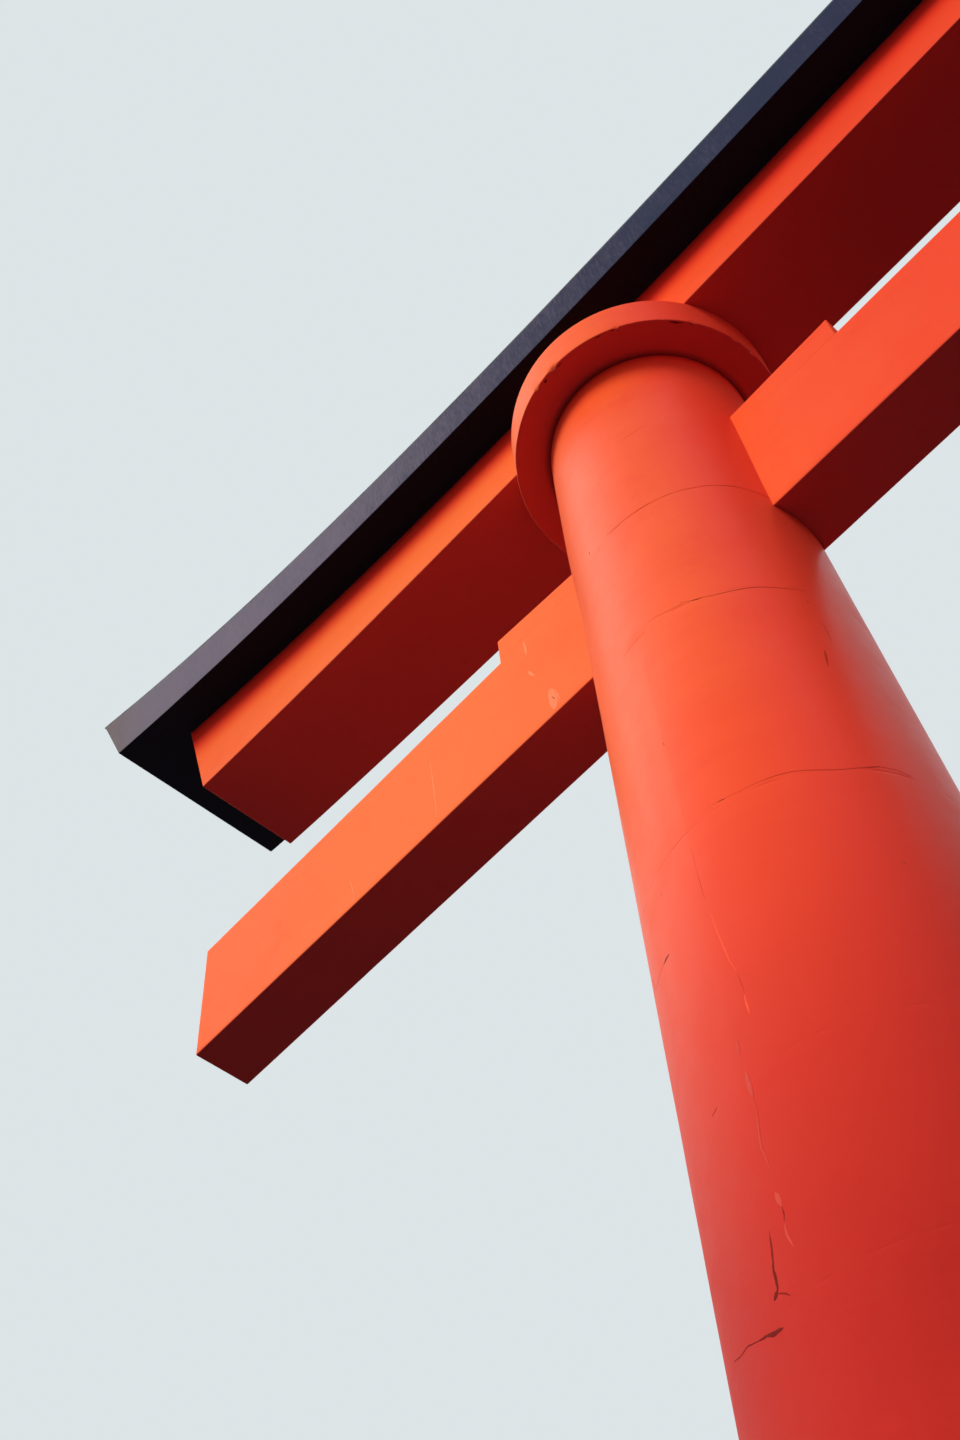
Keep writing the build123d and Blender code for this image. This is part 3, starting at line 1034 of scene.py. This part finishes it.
class TORII_OT_feet(bpy.types.Operator):
    """Build the base stones and the dark sleeves on them"""
    bl_idname = "torii.feet"
    bl_label = "Feet"

    # The stone's rim height, shoulder radius and dome radius, and the sleeve's chamfer
    rim, shoulder, dome = 0.09, 0.9, 0.39
    chamfer = 0.025

    def execute(self, context):
        for side, direction in SIDES.items():
            self.stone(side, direction * PILLAR_AXIS)
            self.sleeve(side, direction * PILLAR_AXIS)
        return {"FINISHED"}

    def stone(self, side, centre):
        """A domed stone with a tooled skin: the profile's radius falls from the rim to the
        shoulder along a circle, and noise moves its faces."""
        radius, high = (STONE[1][0] - STONE[0][0]) / 2, STONE[1][2]
        rim, shoulder, dome = self.rim, self.shoulder, self.dome
        inward, rise = radius - shoulder, high - rim
        span = math.hypot(inward, rise)
        offset = math.sqrt(dome ** 2 - span ** 2 / 4) / span
        hub = np.array([(radius + shoulder) / 2 - rise * offset, (high + rim) / 2 - inward * offset])
        turn = np.linspace(math.atan2(rim - hub[1], radius - hub[0]),
                           math.atan2(high - hub[1], shoulder - hub[0]), 26)
        radii = np.concatenate([np.linspace(0.1, radius, 8), np.full(6, radius),
                                hub[0] + dome * np.cos(turn), np.linspace(shoulder - 0.02, 0.1, 10)])
        heights = np.concatenate([np.zeros(8), np.linspace(0.012, rim - 0.01, 6),
                                  hub[1] + dome * np.sin(turn), np.full(10, high)])

        def form(angle, r, z):
            points = on_circle(angle, r, z, centre)
            fine, coarse = lattice_noise(points, 0.05) - 0.5, lattice_noise(points, 0.3) - 0.5
            skin = (fine * 0.004 + coarse * 0.008 - 0.004) * np.clip((r - 0.86) / 0.05, 0, 1)
            return skin, np.where(z > 0.02, skin * 0.4, 0)

        add_piece(side + "_base_stone_hewn", closed_surface(revolved(radii, heights, 360, centre, form)),
                  "granite", (side + "_base_stone",), sharp=60)

    def sleeve(self, side, centre):
        """The black sleeve: a tapering band with a rolled foot and a sloped, eased top."""
        low, high = SLEEVE[0][2], SLEEVE[1][2]
        outer = (SLEEVE[1][0] - SLEEVE[0][0]) / 2
        inner_high = FOOT_RADIUS - TAPER * (high - low)
        top_outer = inner_high + outer - FOOT_RADIUS
        chamfer, ease = self.chamfer, sizes().ease
        face_top = high - chamfer
        radii = np.concatenate([[FOOT_RADIUS, outer - ease], outer - ease * np.array([0.3, 0.0]),
                                np.linspace(outer, top_outer, 24)[1:-1],
                                [top_outer, top_outer - 0.2 * ease, top_outer - chamfer, inner_high]])
        heights = np.concatenate([[low, low], low + ease * np.array([0.3, 1.0]),
                                  np.linspace(low + ease, face_top - ease, 24)[1:-1],
                                  [face_top - ease, face_top, high, high]])

        def form(angle, r, z):
            face = np.clip((r - FOOT_RADIUS - 0.01) / 0.01, 0, 1)
            return ripple(on_circle(angle, r, z, centre)) * face, 0 * z

        rings = revolved(radii, heights, sizes().around, centre, form)
        quads = grid_quads(*rings.shape[:2], closed=True)
        add_piece(side + "_foot_sleeve_band", (rings.reshape(-1, 3), [quads]), "foot paint",
                  (side + "_foot_sleeve",))


# Marks on the left pillar by finish: half width in metres, then azimuth in degrees and height in metres
PILLAR_MARKS = {
    "fine crack": {
        "joint_crack_high": (0.0014, [(-49, 8.781), (-45, 8.779), (-33, 8.775), (-23, 8.755),
                                      (-15, 8.735)]),
        "joint_crack_thin": (0.0010, [(-73, 7.796), (-69.7, 7.772), (-65, 7.756), (-58, 7.740),
                                      (-43, 7.747), (-33, 7.742), (-24, 7.757)]),
        "joint_crack_mid": (0.0013, [(-90, 6.430), (-81.6, 6.411), (-74.5, 6.400), (-61.3, 6.404),
                                     (-56.1, 6.400), (-48, 6.380), (-43.5, 6.371), (-38.6, 6.377),
                                     (-28.9, 6.406), (-23.4, 6.408), (-18, 6.396)]),
        "joint_tick": (0.0026, [(-25.8, 7.660), (-24.0, 7.646)]),
        "seam_crack_high": (0.0024, [(-94.9, 6.310), (-94.5, 6.243), (-94.6, 6.180)]),
        "seam_crack_next": (0.0019, [(-94.6, 6.190), (-94.5, 6.121), (-94.2, 6.004)]),
        "seam_crack_mid": (0.0024, [(-89.9, 5.580), (-89.7, 5.533), (-89.4, 5.484)]),
        "tick": (0.0024, [(-108.2, 5.196), (-111.2, 5.190)]),
        "speck_mid": (0.0036, [(-94.8, 6.970), (-94.7, 6.950)]),
        "stain_run": (0.0024, [(-23.2, 7.506), (-23.0, 7.410), (-23.4, 7.330)]),
        "stain_blot": (0.0085, [(-28.2, 7.240), (-28.9, 7.182), (-30.1, 7.095)]),
        "side_crack_fine": (0.0022, [(-119.0, 5.992), (-123.2, 5.998), (-128.0, 6.006), (-132.9, 6.030)]),
        "side_crack_branch": (0.0020, [(-132.8, 6.030), (-134.1, 6.073), (-134.2, 6.108)]),
    },
    "low crack": {
        "gouge_spur": (0.0034, [(-102.2, 4.468), (-100.0, 4.450), (-98.5, 4.431)]),
        "gouge_bruise": (0.0050, [(-100.1, 4.655), (-100.9, 4.590), (-101.6, 4.530)]),
        "low_crack_fine": (0.0026, [(-110.4, 4.402), (-113.8, 4.419), (-117.7, 4.442), (-121.5, 4.449),
                                    (-127.1, 4.480)]),
    },
    "open gouge": {
        "joint_crack_spot": (0.0026, [(-68.4, 7.766), (-66.6, 7.759), (-64.6, 7.755)]),
        "joint_crack_mid_wide": (0.0036, [(-81.6, 6.411), (-80, 6.408), (-78.2, 6.404)]),
        "joint_crack_mid_end": (0.0024, [(-34, 6.390), (-31.5, 6.397), (-28.9, 6.406)]),
        "gouge_thin": (0.0034, [(-100.2, 4.629), (-100.9, 4.582), (-101.8, 4.545)]),
        "gouge": (0.0066, [(-101.8, 4.556), (-101.6, 4.518), (-101.7, 4.485), (-102.3, 4.463)]),
        "gouge_foot": (0.0105, [(-102.0, 4.478), (-102.7, 4.468), (-103.7, 4.458)]),
        "low_crack_wide": (0.0095, [(-108.6, 4.394), (-106.3, 4.378), (-102.8, 4.368)]),
        "low_crack": (0.0050, [(-112.0, 4.409), (-108.8, 4.395), (-106.0, 4.384)]),
        "seam_crack_low": (0.0030, [(-94.8, 4.688), (-94.7, 4.665), (-95.1, 4.642)]),
        "side_crack": (0.0062, [(-115.1, 5.982), (-117.6, 5.990), (-120.6, 5.994)]),
        "speck_high": (0.0036, [(-110.5, 8.885), (-111, 8.870)]),
    },
    "bright seam": {
        "seam_pale_high": (0.0036, [(-93.7, 5.953), (-92.9, 5.820), (-91.3, 5.652), (-90.0, 5.590)]),
        "seam_pale_next": (0.0050, [(-89.4, 5.484), (-89.8, 5.454), (-89.6, 5.393)]),
    },
    "faint seam": {
        "seam_dab_high": (0.0075, [(-95.6, 5.340), (-95.9, 5.282)]),
        "seam_dab_mid": (0.0120, [(-95.3, 5.205), (-95.4, 5.148), (-95.1, 5.095)]),
        "seam_pale_mid": (0.0034, [(-94.9, 5.090), (-94.9, 5.045), (-96.2, 4.944), (-96.4, 4.916),
                                   (-95.2, 4.810)]),
        "seam_dab_low": (0.0110, [(-95.7, 4.748), (-94.9, 4.692)]),
        "seam_pale_low": (0.0046, [(-95.3, 4.636), (-95.4, 4.599), (-94.4, 4.550)]),
    },
    "joint trace": {
        "joint_trace_high": (0.0014, [(-97, 8.803), (-90, 8.786), (-80, 8.775), (-70, 8.776), (-60, 8.779),
                                      (-50, 8.778)]),
        "joint_trace_thin": (0.0014, [(-92, 7.800), (-85.5, 7.812), (-78, 7.786), (-71.8, 7.776)]),
        "joint_trace_mid": (0.0012, [(-96, 6.462), (-90.5, 6.446), (-85.6, 6.425), (-81.5, 6.411)]),
    },
    "pale patch": {
        "joint_trace_top": (0.0010, [(-76, 9.545), (-64.9, 9.588), (-52.1, 9.640), (-39.8, 9.681),
                                     (-26.7, 9.736)]),
    },
}

# Scars on the tie beam's front face: finish, half width and height, then X and Z in metres
TIE_SCARS = {
    "scar_patch": ("pale patch", 0.040, 0.0006, [(-5.390, 8.892), (-5.378, 8.767), (-5.377, 8.690)]),
    "scar_edge": ("pale scar", 0.0035, 0.0011, [(-5.357, 8.845), (-5.338, 8.746), (-5.347, 8.684)]),
    "scar_pit": ("fine crack", 0.004, 0.0016, [(-5.384, 8.815), (-5.367, 8.770)]),
    "scar_run_high": ("pale scar", 0.008, 0.0006, [(-5.509, 9.540), (-5.502, 9.454), (-5.503, 9.375)]),
    "scar_chip": ("pale scar", 0.009, 0.0006, [(-5.507, 9.222), (-5.492, 9.172), (-5.472, 9.130)]),
    "scar_run_left": ("pale scar", 0.0035, 0.0004, [(-6.277, 9.281), (-6.262, 8.95), (-6.255, 8.72)]),
    "scar_run_far": ("pale scar", 0.0030, 0.0004, [(-6.946, 8.902), (-6.925, 8.80), (-6.913, 8.699)]),
}

# Chips in the left cap's lower edge: half width, then azimuth in degrees and radius in metres
CAP_CHIPS = {
    "cap_chip_left": (0.0100, [(-97.4, 0.759), (-96.5, 0.757), (-95.5, 0.760)]),
    "cap_chip_thin": (0.0030, [(-89.2, 0.762), (-87.7, 0.757), (-86.2, 0.762)]),
    "cap_chip_fine": (0.0032, [(-69.6, 0.767), (-68.2, 0.765), (-66.8, 0.767)]),
    "cap_chip_next": (0.0026, [(-62.6, 0.768), (-60.8, 0.768)]),
    "cap_chip_right": (0.0065, [(-38.8, 0.765), (-35.3, 0.763), (-32.3, 0.766)]),
    "cap_chip_end": (0.0024, [(-30.6, 0.768), (-28.2, 0.768)]),
}

# How proud a strip's edges stand, how deep it goes into its face, the share of its width that
# its ends keep, and the least and most of its uneven width
STRIP_EDGE = 0.0002
STRIP_ROOT = 0.004
STRIP_END = 0.06
STRIP_UNEVEN = (0.4, 1.1)


def evenly(points, count):
    """Places evenly spaced on the polyline through a mark's places."""
    points = np.array(points)
    reach = np.concatenate([[0], np.cumsum(np.hypot(*np.diff(points, axis=0).T))])
    t = np.linspace(0, reach[-1], count)
    return np.stack([np.interp(t, reach, points[:, i]) for i in (0, 1)], axis=-1)


def sideways(line):
    """Unit vectors across a line of flat places."""
    way = np.gradient(line, axis=0)
    way /= np.linalg.norm(way, axis=1, keepdims=True) + 1e-9
    return np.stack([-way[:, 1], way[:, 0]], axis=-1)


def lay_strip(name, line, across, half, seed, proud, surface, finish_name):
    """Lays a thin closed strip along a line of flat places: its section is a flat arch, its
    half width is thin at both ends and uneven between, and surface turns flat places and a
    height over the face into points."""
    t = np.linspace(0, 1, len(line))
    draws = np.random.default_rng(seed).uniform(*STRIP_UNEVEN, len(line) + 4)
    uneven = np.convolve(draws, np.ones(5) / 5, "valid")
    section = np.array([-1.0, -0.6, 0.0, 0.6, 1.0])
    side = section * (half * (STRIP_END + np.sin(math.pi * t) ** 0.7 * uneven))[:, None]
    flat = line[:, None] + across[:, None] * side[..., None]
    over = surface(flat[..., 0], flat[..., 1], proud * (1 - section ** 2) + STRIP_EDGE + 0 * side)
    under = surface(flat[..., 0], flat[..., 1], 0 * side - STRIP_ROOT)
    add_piece(name, closed_surface(np.concatenate([over, under[:, ::-1]], axis=1)), finish_name)


class TORII_OT_wear(bpy.types.Operator):
    """Lay the cracks, chips and scars that the paint shows"""
    bl_idname = "torii.wear"
    bl_label = "Wear"

    def execute(self, context):
        for finish_name, marks in PILLAR_MARKS.items():
            for seed, (name, (half, path)) in enumerate(marks.items()):
                self.on_pillar("left", name, half, path, finish_name, seed)
        self.unseen_joints()
        for seed, (name, (finish_name, half, proud, path)) in enumerate(TIE_SCARS.items()):
            self.on_tie(name, half, proud, path, finish_name, 40 + seed)
        for seed, (name, (half, path)) in enumerate(CAP_CHIPS.items()):
            self.under_cap(name, half, path, 70 + seed)
        return {"FINISHED"}

    def unseen_joints(self):
        """Cracks of the same kind in the joints of the sides that the photograph doesn't show."""
        source = np.random.default_rng(17)
        for side, low, high, parts in (("left", 30.0, 200.0, 2), ("right", -180.0, 180.0, 3)):
            for joint in (6, 7, 8):
                for part in range(parts):
                    start = source.uniform(low, high - 40)
                    azimuths = np.linspace(start, start + source.uniform(12, 48), 6)
                    heights = lift_foot(joint) + source.uniform(-0.018, 0.022, 6)
                    name = "_".join((side, "joint", str(joint), "crack", str(part + 1)))
                    self.on_pillar(side, name, source.uniform(0.0011, 0.0024),
                                   list(zip(azimuths, heights)), "fine crack", part + 3 * joint)

    def on_pillar(self, side, name, half, path, finish_name, seed):
        """Lays a slightly shaky strip on a pillar's unrolled face."""
        line = evenly([(math.radians(azimuth) * FOOT_RADIUS, height) for azimuth, height in path], 40)
        across = sideways(line)
        jitter = np.random.default_rng(90 + seed).normal(0, min(0.25 * half, 0.0006), 40)

        def surface(arc, z, over):
            return on_circle(arc / FOOT_RADIUS, pillar_radius(z) + over, z, SIDES[side] * PILLAR_AXIS)

        lay_strip(name, line + across * jitter[:, None], across, half, seed, 0.0005, surface, finish_name)

    def on_tie(self, name, half, proud, path, finish_name, seed):
        """Lays a strip on the tie beam's front face."""
        line = evenly(path, 30)

        def surface(x, z, over):
            return np.stack([x, TIE[0][1] - over, z], axis=-1)

        lay_strip(name, line, sideways(line), half, seed, proud, surface, finish_name)

    def under_cap(self, name, half, path, seed):
        """Lays a dark chip on the left cap's underside, by azimuth and radius."""
        points = np.array(path)
        t, steps = np.linspace(0, 1, 24), np.linspace(0, 1, len(points))
        line = np.stack([np.radians(np.interp(t, steps, points[:, 0])),
                         np.interp(t, steps, points[:, 1])], axis=-1)

        def surface(azimuth, radius, over):
            return on_circle(azimuth, radius, CAP[0][2] - over, -PILLAR_AXIS)

        lay_strip(name, line, np.tile([0.0, 1.0], (24, 1)), half, seed, 0.0006, surface, "open gouge")


class TORII_OT_stage(bpy.types.Operator):
    """Set out the pale floor, the soft light and the camera"""
    bl_idname = "torii.stage"
    bl_label = "Stage"

    floor_half = 120.0
    floor_bounce = (0.040, 0.034, 0.050, 1)
    lamp_colour = (1.0, 0.96, 0.86)
    # The sky's fill from straight down at 0 to straight up at 1
    sky_stops = ((0.44, (0.027, 0.023, 0.036, 1)), (0.60, (1.0, 0.89, 0.92, 1)),
                 (1.0, (0.36, 0.33, 0.35, 1)))

    def execute(self, context):
        self.floor()
        self.light("key", glossy=False)
        self.light("side", glossy=True)
        self.sky()
        self.camera()
        context.scene.view_settings.view_transform = "Standard"
        return {"FINISHED"}

    def floor(self):
        half = self.floor_half
        mesh = bpy.data.meshes.new("floor")
        mesh.from_pydata([(-half, -half, 0), (half, -half, 0), (half, half, 0), (-half, half, 0)], [],
                         [(0, 1, 2, 3)])
        floor = bpy.data.objects.new("floor", mesh)
        bpy.context.scene.collection.objects.link(floor)
        pale = Shader("floor", "floor")
        pale.done(0.9)
        dim = pale.node("ShaderNodeBsdfDiffuse", None, {"Color": self.floor_bounce})
        pale.feed(pale.tree.nodes["Material Output"].inputs["Surface"],
                  pale.shown(dim.outputs[0], pale.surface.outputs[0]))
        mesh.materials.append(MATERIALS["floor"])

    def light(self, name, glossy):
        """A soft distant light, which gloss shows only where it is asked for."""
        azimuth, elevation, strength, angle = (
            getattr(bpy.context.scene.gate_stage, name + "_" + part)
            for part in ("azimuth", "elevation", "strength", "angle"))
        lamp = bpy.data.lights.new(name, "SUN")
        lamp.energy = strength
        lamp.angle = math.radians(angle)
        lamp.color = self.lamp_colour
        light = bpy.data.objects.new(name, lamp)
        light.rotation_euler = Euler((math.radians(90 - elevation), 0, -math.radians(azimuth)))
        light.visible_glossy = glossy
        bpy.context.scene.collection.objects.link(light)

    def sky(self):
        """A world that shows the pale backdrop to the camera and to gloss, and lights the gate
        softly from the sides and above and hardly from below."""
        world = bpy.data.worlds.new("sky")
        bpy.context.scene.world = world
        world.use_nodes = True
        nodes = Nodes(world.node_tree)
        nodes.tree.nodes.clear()
        place = nodes.node("ShaderNodeTexCoord").outputs["Generated"]
        split = nodes.node("ShaderNodeSeparateXYZ", None, {0: place})
        up = nodes.node("ShaderNodeMapRange", None, {"Value": split.outputs[2], "From Min": -1.0})
        ramp = nodes.node("ShaderNodeValToRGB", {"stops": self.sky_stops}, {0: up.outputs[0]})
        fill = nodes.node("ShaderNodeBackground", None, {
            "Color": ramp.outputs[0], "Strength": bpy.context.scene.gate_stage.sky_strength})
        back = nodes.node("ShaderNodeBackground", None, {"Color": (*finish().backdrop, 1)})
        shown = nodes.shown(fill.outputs[0], back.outputs[0])
        nodes.node("ShaderNodeOutputWorld", None, {"Surface": shown})

    def camera(self):
        """Looks along the azimuth and elevation, then rolls about the line of sight."""
        stage = bpy.context.scene.gate_stage
        lens = bpy.data.cameras.new("photographer")
        lens.lens = stage.lens
        lens.clip_end = 400.0
        camera = bpy.data.objects.new("photographer", lens)
        turn = Matrix.Rotation(math.radians(stage.camera_azimuth), 4, "Z")
        lift = Matrix.Rotation(math.radians(90 + stage.camera_elevation), 4, "X")
        roll = Matrix.Rotation(math.radians(stage.camera_roll), 4, "Z")
        camera.matrix_world = Matrix.Translation(stage.camera_place) @ turn @ lift @ roll
        bpy.context.scene.collection.objects.link(camera)
        bpy.context.scene.camera = camera


class TORII_PT_panel(bpy.types.Panel):
    """Lists the steps that build the gate"""
    bl_idname = "TORII_PT_panel"
    bl_label = "Torii Gate"
    bl_space_type = "VIEW_3D"
    bl_region_type = "UI"
    bl_category = "Torii"

    def draw(self, context):
        for step in STEPS:
            self.layout.operator(step.bl_idname)


STEPS = (TORII_OT_finishes, TORII_OT_pillars, TORII_OT_caps, TORII_OT_beams, TORII_OT_lintels,
         TORII_OT_roof, TORII_OT_feet, TORII_OT_wear, TORII_OT_stage)
GROUPS = {"gate_sizes": GateSizes, "gate_finish": GateFinish, "gate_stage": StageSettings}


def register():
    for kind in (*GROUPS.values(), *STEPS, TORII_PT_panel):
        bpy.utils.register_class(kind)
    for name, kind in GROUPS.items():
        setattr(bpy.types.Scene, name, PointerProperty(type=kind))


def unregister():
    for name in GROUPS:
        delattr(bpy.types.Scene, name)
    for kind in reversed((*GROUPS.values(), *STEPS, TORII_PT_panel)):
        bpy.utils.unregister_class(kind)


def main():
    register()
    for step in STEPS:
        group, name = step.bl_idname.split(".")
        getattr(getattr(bpy.ops, group), name)()


if __name__ == "__main__":
    main()
